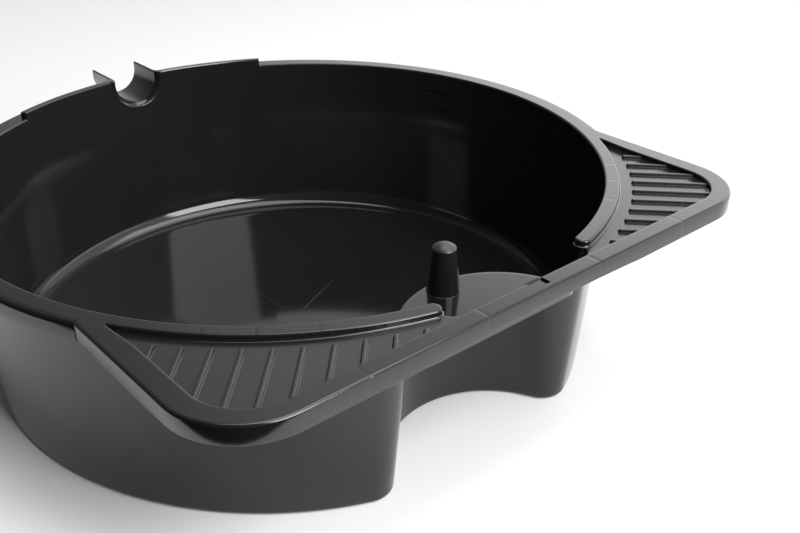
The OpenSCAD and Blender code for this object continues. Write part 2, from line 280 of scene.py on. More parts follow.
def bead_section(flush=False):
    """Bead from LIP_OUT to the tray floor and back under it to the wall's outside, as (r, z)."""
    if flush:
        step = [(BEAD_R, RIM_Z)]
        end = (BEAD_R, DECK_Z)
    else:
        step = (arc(BEAD_R - EDGE, RIM_Z - EDGE, EDGE, 90, 0, 4)
                + arc(BEAD_R + TRAY_CURVE, DECK_Z + TRAY_CURVE, TRAY_CURVE, 180, 270, 3))
        end = (BEAD_R + 1.2, DECK_Z - SINK)
    return ([(LIP_OUT, RIM_Z), (BEAD_R - 1.4, RIM_Z)] + step
            + [end, (end[0], DECK_Z - 1), (BASE_R + (DECK_Z - 1) * TAPER, DECK_Z - 1)])


def main_outer():
    """Outside of the basin from under the rim down to the underside, as (r, z)."""
    wall = [(z * TAPER, z) for z in (DECK_Z - 1, 90, 75, 60, 45, 30, 15)]
    return [(BASE_R + d, z) for d, z in wall + foot_section()]


def main_columns():
    """(angle, has splash lip) round the basin wall, from the right post to the left one."""
    lip0, lip1 = 90 - LIP_HALF, 90 + LIP_HALF
    marks = [POST_WALL_A, TIP_A, -RIM_END, lip0]
    angles = []
    for a, b in zip(marks, marks[1:]):
        angles += spread(a, b, 1.0)
    for a in CREASES_A:
        angles += [a + offset for offset in (-0.12, -0.04, 0.04, 0.12)]
    right = [(a, False) for a in sorted(angles)]
    notch0, notch1 = 90 - NOTCH_A, 90 + NOTCH_A
    lip = spread(lip0, notch0, 1.0) + spread(notch0, notch1, 0.25)[1:] + spread(notch1, lip1, 1.0)[1:]
    return right + [(a, True) for a in lip] + [(180 - a, False) for a, _ in reversed(right)]


def round_point(r, a, z):
    """A point of the rim or bead at angle a, sunk a little where a mould line crosses the bead."""
    turned = a if a < 90 else 180 - a
    sunk = any(abs(turned - c) < 0.06 for c in CREASES_A) and z > RIM_Z - 1.3
    return polar(r, a, z - CREASE if sunk else z)


def floor_band(main):
    """Pairs of points round the floor: on the foot of the curve and a little further in."""
    band_w = 1.5
    inset = BASE_H + band_w
    corner_y = ((RECESS_R + inset) ** 2 - (BASE_R - inset) ** 2 - RECESS_Y ** 2) / (2 * RECESS_Y)
    corner_x = math.sqrt((BASE_R - inset) ** 2 - corner_y ** 2)
    wall_a = math.degrees(math.atan2(corner_y, corner_x))
    recess_a = math.degrees(math.atan2(corner_y + RECESS_Y, corner_x))
    pairs = []
    for a, _ in main:
        clamped = min(max(a, wall_a), 180 - wall_a)
        pairs.append([polar(BASE_R - BASE_H, a, 0)[:2], polar(BASE_R - inset, clamped, 0)[:2]])
    for a in spread(180 - RECESS_A, RECESS_A, 1.5):
        clamped = min(max(a, recess_a), 180 - recess_a)
        pairs.append([polar(RECESS_R + BASE_H, a, 0, 0, -RECESS_Y)[:2],
                      polar(RECESS_R + inset, clamped, 0, 0, -RECESS_Y)[:2]])
    return pairs + pairs[:1]


def lower_columns():
    """Plan functions (offset -> x, y) from the left post round the recess to the right post."""
    def post(side, angle):
        return lambda d: polar(POST_R + d, angle, 0, side * POST_X, POST_Y)[:2]

    def recess(angle):
        return lambda d: polar(RECESS_R - d, angle, 0, 0, -RECESS_Y)[:2]

    left = [post(-1, a) for a in spread(180 - POST_WALL_A, 180 - POST_RECESS_A, 5)]
    middle = [recess(a) for a in spread(180 - RECESS_A, RECESS_A, 1.5)]
    right = [post(1, a) for a in spread(POST_RECESS_A, POST_WALL_A, 5)]
    return left + middle + right


def front_columns(gap):
    """Plan functions (radius, panel y -> x, y) along the front, from the left bead's end to the
    right one's. gap widens the bends for the outside of the skin."""
    def bend(side, t):
        def at(r, py):
            x0 = r * math.cos(math.radians(BEAD_END_A)) + gap
            x = x0 - BEND_W * (1 - math.cos(math.radians(t)))
            yc = -math.sqrt(r * r - x * x)
            return (side * x, yc + (py - yc) * math.sin(math.radians(t)))
        return at

    def panel(s):
        def at(r, py):
            x0 = r * math.cos(math.radians(BEAD_END_A)) + gap - BEND_W
            return (s * x0, py)
        return at

    left = [bend(-1, t) for t in spread(0, 90, 7.5)]
    middle = [panel(s) for s in spread(-1, 1, 0.1)][1:-1]
    right = [bend(1, t) for t in spread(90, 0, 7.5)]
    return left + middle + right


def notch_cut(y):
    """Where the basin's skin stops at depth y: inside the thickness of the flare or channel."""
    if y < RIM_IN + 1.5:
        return NOTCH_R + FLARE_R
    return NOTCH_R + 1.2


def flare_profile():
    """The flare from the basin's wall into the channel, as (reach, depth, share of the wall's curve)."""
    bends = ((0.9, 0, 36), (8.0, 36, 54), (2.2, 54, 90))     # radius, and slope at both ends in degrees
    across = sum(r * (math.sin(math.radians(b)) - math.sin(math.radians(a))) for r, a, b in bends)
    reach, depth = NOTCH_R + across, 0.0
    points = [(NOTCH_R + FLARE_R + 0.5, -0.03, 1.0), (reach, depth, 1.0)]
    for radius, a, b in bends:
        turned = [math.radians(t) for t in spread(a, b, 9)]
        for t0, t1 in zip(turned, turned[1:]):
            reach -= radius * (math.sin(t1) - math.sin(t0))
            depth += radius * (math.cos(t0) - math.cos(t1))
            points.append((reach, depth, math.cos(t1)))
    return points


def cut_notch(bm):
    """Opens the back wall, lip and rim where the pour channel goes through. The points left inside
    the notch move out to its edge: sideways near its top, and away from its axis lower down."""
    back_y, sideways = 150, 6

    def reach(v):
        return math.hypot(v.co.x, max(0.0, NOTCH_Z - v.co.z))

    inside = {v for v in bm.verts if v.co.y > back_y and reach(v) < notch_cut(v.co.y) - 1e-3}
    gone = [f for f in bm.faces if all(v in inside for v in f.verts)]
    bmesh.ops.delete(bm, geom=gone, context="FACES")
    for v in [v for v in bm.verts if v in inside]:
        want = notch_cut(v.co.y)
        drop = max(0.0, NOTCH_Z - v.co.z)
        if v.co.z > RIM_Z - 1.3 or drop < sideways:
            v.co.x = math.copysign(math.sqrt(want ** 2 - drop ** 2), v.co.x)
            continue
        k = want / reach(v)
        x, z = v.co.x * k, NOTCH_Z - drop * k
        r = math.hypot(v.co.x, v.co.y) + (z - v.co.z) * TAPER
        v.co = (x, math.sqrt(r * r - x * x), z)


def finish_pan(bm):
    """Cuts the notch and gives the moulding's inside the polished material: floor and wall, and the
    inner edge or the splash lip's face, but not what faces the front inside the hand recess."""
    cut_notch(bm)
    for f in bm.faces:
        c = f.calc_center_median()
        r = math.hypot(c.x, c.y)
        wall = SKIN - 0.5 < c.z < WALL_TOP and r < wall_in(c.z) + 0.6 and f.normal.z > -0.3
        edge = c.z >= WALL_TOP and r < RIM_IN + 1.5
        hollow = c.y < POST_Y and f.normal.y < 0 and c.z < CEILING_Z
        f.material_index = 1 if (wall or edge) and not hollow else 0


def add_rim_and_beads(skin, main, ends):
    """Rim round the back and sides, and a bead along each tray."""
    rim = rim_section()
    part = [a for a, _ in main if -RIM_END - 1e-6 <= a <= 180 + RIM_END + 1e-6]
    skin.sheet([[polar(r, a, z) for r, z in rim] for a in part])
    end = [(BEAD_R, RIM_Z)] + [p for p in rim if p[0] > BEAD_R + 0.1] + [(BEAD_R, DECK_Z)]
    skin.cap([polar(r, -RIM_END, z) for r, z in end], flip=True)
    skin.cap([polar(r, 180 + RIM_END, z) for r, z in end])
    wing = ends + [a for a, _ in main if POST_WALL_A < a <= -RIM_END + 1e-6]
    for flush in (False, True):
        part = [a for a in wing if (a >= TIP_A - 1e-6 if flush else a <= TIP_A + 1e-6)]
        section = bead_section(flush)
        skin.sheet([[round_point(r, a, z) for r, z in section] for a in part])
        skin.sheet([[round_point(r, 180 - a, z) for r, z in section] for a in reversed(part)])


def add_high_walls(skin, ends):
    """Basin wall over the recess posts, from just under the platform to the beads."""
    section = [(wall_in(z), z) for z in spread(PLATFORM_FOOT_Z, WALL_TOP, 4)][:-1] + top_section(False)
    skin.sheet([[polar(r, a, z) for r, z in section] for a in ends])
    skin.sheet([[polar(r, 180 - a, z) for r, z in section] for a in reversed(ends)])


def add_bead_ends(skin):
    """Rounded ends of the two beads, whose foot curve runs out towards the opening."""
    end_x, end_y, _ = polar(BEAD_MID, BEAD_END_A, 0)
    half = BEAD_R - BEAD_MID
    runs_out = 120                       # degrees round the end
    for side in (-1, 1):
        columns = []
        for t in spread(0, 180, 12):
            foot = TRAY_CURVE if t < runs_out else TRAY_CURVE * (180 - t) / (180 - runs_out) + 0.01
            section = ([(0.01, RIM_Z), (half - EDGE - 0.6, RIM_Z)]
                       + arc(half - EDGE, RIM_Z - EDGE, EDGE, 90, 0, 4)
                       + arc(half + foot, DECK_Z + foot, foot, 180, 270, 3)
                       + [(half + foot, DECK_Z - 1.5)])
            points = [polar(r, BEAD_END_A - t, z, end_x, end_y) for r, z in section]
            columns.append([(side * x, y, z) for x, y, z in points])
        skin.sheet(columns, flip=side < 0)


def add_recess_wall(skin):
    """Lower wall round the hand recess, rolling over onto the platform, and the platform's top."""
    edge = 2.0
    edge_d = (PLATFORM_Z - edge) * TAPER - SKIN
    up = fillet_section() + inner_wall(BASE_H, PLATFORM_Z - edge, 8)
    over = arc(edge_d + edge, PLATFORM_Z - edge, edge, 180, 90, 6)[1:]
    back_r = wall_in(PLATFORM_Z) + PLATFORM_OVER
    columns, ring = [], []
    for plan in lower_columns():
        x, y = plan(edge_d + edge + 1.5)
        k = min(1.0, back_r / math.hypot(x, y))
        ring.append((x * k, y * k, PLATFORM_Z))
        columns.append([(*plan(d), z) for d, z in up + over] + ring[-1:])
    skin.sheet(columns)
    behind = [polar(back_r, a, PLATFORM_Z) for a in spread(POST_WALL_A, BEAD_END_A, 1.0)]
    behind.append((40.0, -PANEL_FOOT_Y - PLATFORM_OVER, PLATFORM_Z))
    skin.cap(ring + behind + [(-x, y, z) for x, y, z in reversed(behind)])


def add_front_inside(skin):
    """Front panel and the bends beside it, up to the rounded edge of the ledge. Returns that edge."""
    levels = spread(PLATFORM_FOOT_Z, PLATFORM_Z, 1) + spread(PLATFORM_Z, DECK_UNDER, 3.8)[1:]
    levels.append(DECK_Z - EDGE)
    ledge = arc(EDGE, DECK_Z - EDGE, EDGE, 180, 90, 4)[1:] + [(EDGE + 0.8, DECK_Z)]
    columns = []
    for at in front_columns(0.0):
        column = [(*at(wall_in(z), panel_y(z)), z) for z in levels]
        x, y, _ = column[-1]
        out_x, out_y = at(wall_in(DECK_Z) + 5, -PANEL_HEAD_Y - 5)
        far = math.hypot(out_x - x, out_y - y)
        ux, uy = (out_x - x) / far, (out_y - y) / far
        columns.append(column + [(x + ux * s, y + uy * s, z) for s, z in ledge])
    skin.sheet(columns)
    return [c[-1] for c in columns]


def add_front_outside(skin):
    """Outside of the front: lower wall round the recess, its ceiling and the wall over it."""
    down = [(z * TAPER, z) for z in spread(CEILING_Z, FOOT_R, 12)][:-1] + foot_section()
    lower = [[(*plan(d), z) for d, z in down] for plan in lower_columns()]
    skin.sheet(lower)
    wider = 2.2                          # the bends are this much wider on the outside
    heights = spread(DECK_UNDER, CEILING_Z, 4)
    angles = spread(POST_WALL_A, FRONT_OUT_A, 1.0)
    side = [[polar(BASE_R + z * TAPER, a, z) for z in heights] for a in angles]
    upper = [[(-x, y, z) for x, y, z in column] for column in side]
    for at in front_columns(wider):
        upper.append([(*at(BASE_R + z * TAPER, panel_y(z) - PANEL_T), z) for z in heights])
    upper += side[::-1]
    skin.sheet(upper)
    skin.cap([c[0] for c in lower] + [c[-1] for c in reversed(upper)])


def add_floors(skin, main):
    """Floor, inside and under the pan, each with a narrow flat band round it."""
    for z, flip in ((SKIN, False), (0.0, True)):
        band = [[(*p, z) for p in pair] for pair in floor_band(main)]
        skin.sheet(band, flip=not flip)
        skin.cap([pair[1] for pair in band[:-1]], flip=flip)


def build_pan(material, inside):
    """The basin with its rim, beads, hand recess and platform, and the inner edge of the ledge."""
    skin = Skin()
    main = main_columns()
    skin.sheet([[round_point(r, a, z) for r, z in main_inner(lip)] for a, lip in main])
    skin.sheet([[polar(r, a, z) for r, z in main_outer()] for a, _ in main])
    ends = spread(BEAD_END_A, POST_WALL_A, 1.0)
    add_rim_and_beads(skin, main, ends)
    add_high_walls(skin, ends)
    add_bead_ends(skin)
    add_recess_wall(skin)
    ledge_edge = add_front_inside(skin)
    add_front_outside(skin)
    add_floors(skin, main)
    piece = skin.build("pan_body", material, edit=finish_pan)
    piece.data.materials.append(inside)
    return piece, ledge_edge


# ---- Pour channel ----

def build_spout(material):
    """U-shaped channel with an even wall that flares into the basin."""
    skin = Skin()
    flare_y = RIM_IN - 1
    half = CHANNEL_T / 2
    flare = flare_profile()

    def station(c, z0, s, grow):
        """Closed section through the channel's wall in the direction (c, s); grow thins it."""
        reach = NOTCH_R + FLARE_R
        r = wall_in(min(z0 + reach * s, WALL_TOP))
        shift = math.sqrt(r * r - (reach * c) ** 2) - flare_y
        inside = [(q + grow, flare_y + depth + shift * share) for q, depth, share in flare]
        near, far = NOTCH_R + grow, NOTCH_OUT_R - grow
        lip = [(near, NOTCH_END - 0.5), (near + 0.1, NOTCH_END - 0.1), (NOTCH_R + half, NOTCH_END),
               (far - 0.1, NOTCH_END - 0.1), (far, NOTCH_END - 0.5)]
        outside = [(far, flare_y + FLARE_LEN), (reach + 0.4, flare_y + 3.2), (reach + 0.5, flare_y + 1.5)]
        return [(q * c, y, z0 + q * s) for q, y in inside + lip + outside]

    top = [(z, half - r) for r, z in arc(0.0, LIP_Z - half, half, 75, 0, 5)]
    straight = top + [(z, 0.0) for z in spread(LIP_Z - half, NOTCH_Z, 1.5)[1:]]
    columns = [station(-1.0, z, 0.0, grow) for z, grow in straight]
    for c, s in arc(0.0, 0.0, 1.0, 180, 360, 45)[1:-1]:
        columns.append(station(c, NOTCH_Z, s, 0.0))
    columns += [station(1.0, z, 0.0, grow) for z, grow in reversed(straight)]
    skin.sheet(columns)
    skin.cap(columns[0])
    skin.cap(columns[-1], flip=True)
    return skin.build("pour_spout", material)


# ---- Border of the wings and front bar ----

def border_path():
    """Stations from the right junction to the left one: (x, y, inward x, inward y, room, crease,
    added width). room limits the section where it runs into the bead."""
    slope = math.tan(math.radians(RIM_END))
    end_y = -WING_X * slope
    corner_y = CORNER_R - BAR_Y
    half = []
    for k in [1.0, 0.94] + spread(0.9, 0, 0.1):
        y = TIP_Y + k * (end_y - TIP_Y)
        dy = k * slope
        # (WING_X - s)^2 + (y + s dy)^2 = BEAD_R^2, solved for s
        p, q, w = 1 + dy * dy, y * dy - WING_X, WING_X ** 2 + y * y - BEAD_R ** 2
        room = (-q - math.sqrt(q * q - p * w)) / p
        half.append((WING_X, y, -1.0, dy, room, JOINT if k == 1 else 0.0, 0.0))
    for y in spread(TIP_Y, corner_y, 4):
        added = SIDE_EXTRA * min(1.0, (TIP_Y - y) / 20)
        half.append((WING_X, y, -1.0, 0.0, None, 0.0, added))
    for a in spread(0, -90, 3)[1:]:
        c, s, _ = polar(1.0, a, 0.0)
        added = SIDE_EXTRA * (1 + a / 90)
        half.append((CORNER_X + CORNER_R * c, corner_y + CORNER_R * s, -c, -s, None, 0.0, added))
    stops = spread(CORNER_X, SLOT_X, 4)[1:] + [0.0]
    for x in CREASES_X:
        stops += [x + offset for offset in (-0.4, -0.12, 0.12, 0.4)]
    for x in sorted(stops, reverse=True):
        crease = CREASE if any(abs(x - c) < 0.2 for c in CREASES_X) else 0.0
        half.append((x, -BAR_Y, 0.0, 1.0, None, crease, 0.0))
    return half + [(-x, y, -dx, dy, *more) for x, y, dx, dy, *more in reversed(half[:-1])]


def border_section(low_z, room=None, crease=0.0, added=0.0):
    """Closed section of the border, as (distance inward from its outer face, z)."""
    top_r = 1.3
    wide = BORDER_W + added
    tray_under = DECK_UNDER - SINK
    outer = (arc(SKIRT_EDGE, low_z + SKIRT_EDGE, SKIRT_EDGE, 270, 180, 3)
             + [(0.0, RIM_Z - 3.0)]
             + arc(top_r, RIM_Z - top_r, top_r, 180, 90, 6)
             + [(top_r + 0.7, RIM_Z), (SLOT_S, RIM_Z)])
    step = ([(wide - EDGE - 0.7, RIM_Z)]
            + arc(wide - EDGE, RIM_Z - EDGE, EDGE, 90, 0, 4)
            + arc(wide + EDGE, DECK_Z + EDGE, EDGE, 180, 270, 3)
            + [(wide + EDGE + 0.2, DECK_Z - SINK), (BORDER_W + 0.6, DECK_Z - 1), (BORDER_W, tray_under)])
    under = ([(BORDER_W - SKIN, tray_under), (BORDER_W - SKIN, RIM_Z - SKIN), (SLOT_S, RIM_Z - SKIN),
              (SKIRT_T, RIM_Z - SKIN), (SKIRT_T, low_z + SKIRT_EDGE)]
             + arc(SKIRT_T - SKIRT_EDGE, low_z + SKIRT_EDGE, SKIRT_EDGE, 0, -90, 3)
             + [(SKIRT_EDGE, low_z)])
    if room is not None:
        flat = len(step) - 2
        step = [(SLOT_S + (room - SLOT_S) * (i + 1) / flat, RIM_Z) for i in range(flat)]
        step += [(room, RIM_Z - 1), (room, tray_under)]
        outer = [(min(s, room), z) for s, z in outer]
        under = [(min(s, room), z) for s, z in under]
    if crease:
        outer = [(s + crease, z - crease if z > RIM_Z - 0.1 else z) for s, z in outer]
        step = [(s, z - crease if z > RIM_Z - 0.1 else z) for s, z in step]
    return outer + step + under


def skirt_lift(x):
    """The bar's skirt is a little less deep in its middle."""
    rise, rise_x = 1.3, 62.0
    return rise * max(0.0, math.cos(math.pi / 2 * min(1.0, abs(x) / rise_x))) ** 0.7


def build_border(material):
    """Raised border with its skirt, along both wings and the front bar, with the hang slot."""
    skin = Skin()
    columns = []
    for x, y, dx, dy, room, crease, added in border_path():
        on_bar = dy == 1.0 and dx == 0.0
        section = border_section(SKIRT_Z + (skirt_lift(x) if on_bar else 0.0), room, crease, added)
        columns.append([(x + dx * s, y + dy * s, z) for s, z in section])
    skin.sheet(columns)
    skin.cap(columns[0])
    skin.cap(columns[-1], flip=True)

    # Walls of the hang slot.
    slot_y = SLOT_S - BAR_Y
    side = [(s - BAR_Y, z) for s, z in border_section(SKIRT_Z) if s >= SLOT_S]
    for x, flip in ((SLOT_X, True), (-SLOT_X, False)):
        skin.cap([(x, y, z) for y, z in side], flip=flip)
    corners = [(SLOT_X, RIM_Z), (-SLOT_X, RIM_Z), (-SLOT_X, RIM_Z - SKIN), (SLOT_X, RIM_Z - SKIN)]
    skin.cap([(x, slot_y, z) for x, z in corners])

    # Step inside the slot, open along its front and on the right, with a small ridge at the ledge.
    gap, base = 0.6, -4.0
    deck = DECK_Z - RIM_Z
    step = [(gap, base), (gap, -1.2), (gap + 0.3, -1.0), (5.1, -1.0), (5.4, -0.8), (5.6, -0.5), (5.9, -0.3),
            (6.3, -0.5), (6.7, deck + 0.2), (7.2, deck - 0.01), (7.2, base)]
    loop = step + step[:1]
    skin.sheet([[(x, slot_y + s, RIM_Z + z) for s, z in loop] for x in (SLOT_X - gap, -SLOT_X)])
    skin.cap([(SLOT_X - gap, slot_y + s, RIM_Z + z) for s, z in step])
    return skin.build("wing_border", material, edit=cut_slot)


def cut_slot(bm):
    """Opens the middle of the bar from the slot's front wall to the ledge. The bar's own faces there
    are half as wide as the slot, so the step's wider faces and the slot's upright sides stay."""
    near = 0.01
    gone = []
    for f in bm.faces:
        xs = [v.co.x for v in f.verts]
        ys = [v.co.y - SLOT_S + BAR_Y for v in f.verts]
        inside = min(xs) > -SLOT_X - near and max(xs) < SLOT_X + near
        bar_face = near < max(xs) - min(xs) < SLOT_X + near
        behind = min(ys) > near or (min(ys) > -near and max(ys) > min(ys))
        if inside and bar_face and behind:
            gone.append(f)
    bmesh.ops.delete(bm, geom=gone, context="FACES")


# ---- Trays ----

def tray_outline():
    """Plan of the right tray's floor: along the bead to the tip, and back along the border."""
    r, s = BEAD_R + 0.5, BORDER_W + TRAY_IN
    corner_y = CORNER_R - BAR_Y
    tip_a = math.degrees(-math.acos((WING_X - s) / r))
    bead = [polar(r, a, DECK_Z) for a in spread(BEAD_END_A, tip_a, 1.0)]
    turn = [polar(CORNER_R - s, a, DECK_Z, CORNER_X, corner_y) for a in spread(0, -90, 4)]
    return bead, [(WING_X - s, corner_y, DECK_Z)] + turn


def build_trays(material, ledge_edge):
    """Tray floors and the ledge between them: one flat sheet over another, a skin apart."""
    skin = Skin()
    bead, outer = tray_outline()
    mid = polar(BEAD_MID, BEAD_END_A, DECK_Z)
    right = [mid] + bead + outer
    left = [(-x, y, z) for x, y, z in reversed(right)]
    skin.cap(right + left + [(x, y, DECK_Z) for x, y, _ in ledge_edge], flip=True)

    # Underside, up to the plane where the wings start, with a short wall that closes it there.
    wall_r = BASE_R + DECK_UNDER * TAPER - 1.0
    rim_r = BEAD_R - 0.1
    wall = [polar(wall_r, a, DECK_UNDER) for a in spread(BEAD_END_A, -RIM_END, 1.0)]
    rim = [polar(rim_r, a, DECK_UNDER) for a in spread(-RIM_END, TIP_A, 1.0)]
    border = [(x, y, DECK_UNDER) for x, y, _ in outer]
    right = [(46.0, -PANEL_HEAD_Y - 1.2, DECK_UNDER)] + wall + rim + border
    left = [(-x, y, z) for x, y, z in reversed(right)]
    skin.cap(right + left)
    close = [(wall_r, DECK_UNDER), (rim_r, DECK_UNDER), (rim_r, DECK_Z), (wall_r, DECK_Z)]
    skin.cap([polar(r, -RIM_END, z) for r, z in close], flip=True)
    skin.cap([polar(r, 180 + RIM_END, z) for r, z in close])

    # Edge of the ledge in the hang slot.
    edge_y = BORDER_W + TRAY_IN - BAR_Y
    corners = [(-SLOT_X, DECK_Z), (SLOT_X, DECK_Z), (SLOT_X, DECK_UNDER), (-SLOT_X, DECK_UNDER)]
    skin.cap([(x, edge_y, z) for x, z in corners])
    return skin.build("wing_trays", material)


def build_rib(name, side, number, material):
    """One rounded rib that points at the basin and runs into the border. n and t are the places
    across and along the ribs, measured from the basin's axis."""
    skin = Skin()
    dx, dy, _ = polar(1.0, RIB_A, 0.0)
    nx, ny = dy, -dx
    n = RIB_FIRST + RIB_PITCH * (number - 1)
    t0 = -math.sqrt(RIB_START_R ** 2 - n ** 2)

    def inside(t):
        x, y = n * nx + t * dx, n * ny + t * dy
        s = BORDER_W - 1.2
        corner_y = CORNER_R - BAR_Y
        if -x > CORNER_X and y < corner_y:
            return math.hypot(-x - CORNER_X, y - corner_y) < CORNER_R - s
        return -x < WING_X - s and y > s - BAR_Y

    t1 = t0
    while inside(t1 - 0.1):
        t1 -= 0.1
    half, edge = 1.15, 0.4
    profile = ([(half + 0.25, DECK_Z - SINK), (half + 0.06, DECK_Z + 0.1), (half - 0.03, DECK_Z + 0.35)]
               + arc(half - 0.3 - edge, RIB_TOP - edge, edge, 15, 90, 3)
               + [(0.0, RIB_TOP)])
    full = profile + [(-w, z) for w, z in reversed(profile[:-1])]

    def at(t, w, z):
        return (-side * (n * nx + t * dx + w * nx), n * ny + t * dy + w * ny, z)

    head = t0 - half
    skin.sheet([[at(t, w, z) for w, z in full] for t in (t1, (t1 + head) / 2, head)], flip=side > 0)
    dome = [[at(head + w * c, w * s, z) for w, z in profile] for c, s in arc(0.0, 0.0, 1.0, 90, -90, 12)]
    skin.sheet(dome, flip=side < 0)
    return skin.build(name, material, sharp=60)


# ---- Peg ----

def build_peg(material, cap_material):
    """Tapered peg with a rounded cap that has a duller surface than the body."""
    skin = Skin()
    dome, edge = 1.5, 1.8
    cap_z = PEG_TOP - dome
    inner = PEG_CAP_R - edge
    slope = 2 * math.atan(dome / inner)
    ball_r = inner / math.sin(slope) + edge
    body_h = cap_z - edge - PLATFORM_Z
    section = [(PEG_R + 0.35, PLATFORM_Z - SINK), (PEG_R + 0.08, PLATFORM_Z + 0.08),
               (PEG_R - 0.02, PLATFORM_Z + 0.4)]
    section += [(PEG_R + (PEG_CAP_R - PEG_R) * k, PLATFORM_Z + body_h * k) for k in (0.25, 0.5, 0.75)]
    section += arc(inner, cap_z - edge, edge, 0, 90 - math.degrees(slope), 6)
    section += [(ball_r * math.sin(a), PEG_TOP - ball_r * (1 - math.cos(a)))
                for a in spread(slope, 0.0, slope / 7)[1:]]
    skin.sheet([[polar(r, a, z, 0, PEG_Y) for r, z in section] for a in spread(0, 360, 5)], flip=True)

    def split(bm):
        for f in bm.faces:
            f.material_index = 1 if f.calc_center_median().z > cap_z - edge * 0.6 else 0

    piece = skin.build("drain_peg", material, edit=split)
    piece.data.materials.append(cap_material)
    return piece


def build_floor_lines(material):
    """Two faint weld lines that run outward from the middle of the basin floor."""
    skin = Skin()
    foot_z, top_z = SKIN - 0.01, SKIN + 0.05
    for angle, length in ((25.0, 127.0), (90.0, 80.0)):
        c, s, _ = polar(1.0, angle, 0.0)
        columns = []
        for t, w in ((4.0, 0.1), (12.0, 0.5), (length * 0.6, 0.4), (length, 0.05)):
            profile = [(w, foot_z), (w * 0.4, top_z), (-w * 0.4, top_z), (-w, foot_z)]
            columns.append([(t * c + q * s, t * s - q * c, z) for q, z in profile])
        skin.sheet(columns, flip=True)
    return skin.build("floor_weld_lines", material, sharp=80)


# ---- Materials ----

class Nodes:
    """Short hand for a material's node tree."""

    def __init__(self, name):
        self.material = bpy.data.materials.new(name)
        self.material.use_nodes = True
        self.tree = self.material.node_tree
        self.shader = self.tree.nodes["Principled BSDF"]

    def make(self, kind, **settings):
        node = self.tree.nodes.new(kind)
        for key, value in settings.items():
            if hasattr(node, key):
                setattr(node, key, value)
            else:
                node.inputs[key.replace("_", " ")].default_value = value
        return node

    def link(self, a, out, b, into):
        self.tree.links.new(a.outputs[out], b.inputs[into])

    def stretch(self, node, out, start, end, low=0.0, high=1.0):
        """Maps a node's output from start..end to low..high."""
        stretched = self.make("ShaderNodeMapRange")
        for name, value in zip(("From Min", "From Max", "To Min", "To Max"), (start, end, low, high)):
            stretched.inputs[name].default_value = value
        self.link(node, out, stretched, "Value")
        return stretched


def moulded_plastic(name, colour, rough, vary, grain, bump):
    """Black moulded polypropylene: faint flow marks in colour and gloss, and a fine grain. The
    roughness is rough, plus or minus vary."""
    flow_span = (0.3, 0.7)
    m = Nodes(name)
    where = m.make("ShaderNodeTexCoord")
    flow = m.make("ShaderNodeTexNoise", Scale=9.0, Detail=4.0, Roughness=0.55)
    fine = m.make("ShaderNodeTexNoise", Scale=grain, Detail=3.0, Roughness=0.6)
    m.link(where, "Object", flow, "Vector")
    m.link(where, "Object", fine, "Vector")
    tone = m.make("ShaderNodeValToRGB")
    for element, place, shade in zip(tone.color_ramp.elements, flow_span, (0.85, 1.15)):
        element.position = place
        element.color = [c * shade for c in colour] + [1]
    m.link(flow, "Fac", tone, "Fac")
    m.link(tone, "Color", m.shader, "Base Color")
    gloss = m.stretch(flow, "Fac", *flow_span, rough - vary, rough + vary)
    m.link(gloss, "Result", m.shader, "Roughness")
    relief = m.make("ShaderNodeBump", Strength=bump, Distance=0.0002)
    m.link(fine, "Fac", relief, "Height")
    m.link(relief, "Normal", m.shader, "Normal")
    m.shader.inputs["IOR"].default_value = 1.5
    return m.material


# ---- Scene ----

# Brightness round the horizon: 0 is opposite the sweep, 1 is the sweep's middle.
SWEEP_AZ = -5.0
SWEEP_TOP = (24.0, 34.0)                 # between these elevations LOW_LEVELS pass into HIGH_LEVELS
LOW_LEVELS = ((0.0, 0.03), (0.15, 0.1), (0.35, 0.3), (0.58, 0.35), (0.66, 0.6), (0.74, 0.9),
              (0.88, 2.5), (1.0, 2.8))
HIGH_LEVELS = ((0.0, 0.03), (0.15, 0.08), (0.35, 0.2), (0.58, 0.2), (0.66, 0.45), (0.74, 1.0),
               (0.86, 1.3), (1.0, 1.3))
BRIGHTEST = 3.0                          # strength of the surroundings for a colour of 1
HORIZON = (-0.05, -0.01)                 # below it the surroundings are dark
DARK = 0.03                              # their strength down there

CAMERA_PLACE = (-271.49, -404.82, 302.37)
CAMERA_TURN = (-41.15, 28.82, 0.14)      # azimuth, elevation and roll, in degrees
CAMERA_LENS = 43.13                      # on a sensor 36 mm wide

TABLE_EDGE = (-0.285, -0.12)             # a point on the table's near edge, in metres
TABLE_EDGE_A = 127.5                     # and the edge's direction, in degrees
FLOOR_PAINTED_LIGHT_SPAN = 0.32                        # the table's painted light and shade change over this distance from that edge
FLOOR_PAINTED_LIGHT = (0.92, 0.66)              # painted light and shade: from this lighter tone at the edge to this darker one further in


def place_softbox(name, azimuth, elevation, distance, size, radiance):
    """Rectangular soft light that faces the pan; radiance is its brightness as seen from there."""
    a, e = math.radians(azimuth), math.radians(elevation)
    out = Vector((math.cos(a) * math.cos(e), math.sin(a) * math.cos(e), math.sin(e)))
    middle = Vector((0, 0, 0.06))
    light = bpy.data.lights.new(name, "AREA")
    light.shape = "RECTANGLE"
    light.size, light.size_y = size
    light.energy = radiance * math.pi * size[0] * size[1]
    lamp = bpy.data.objects.new(name, light)
    lamp.location = middle + distance * out
    lamp.rotation_euler = (-out).to_track_quat("-Z", "Y").to_euler()
    bpy.context.scene.collection.objects.link(lamp)


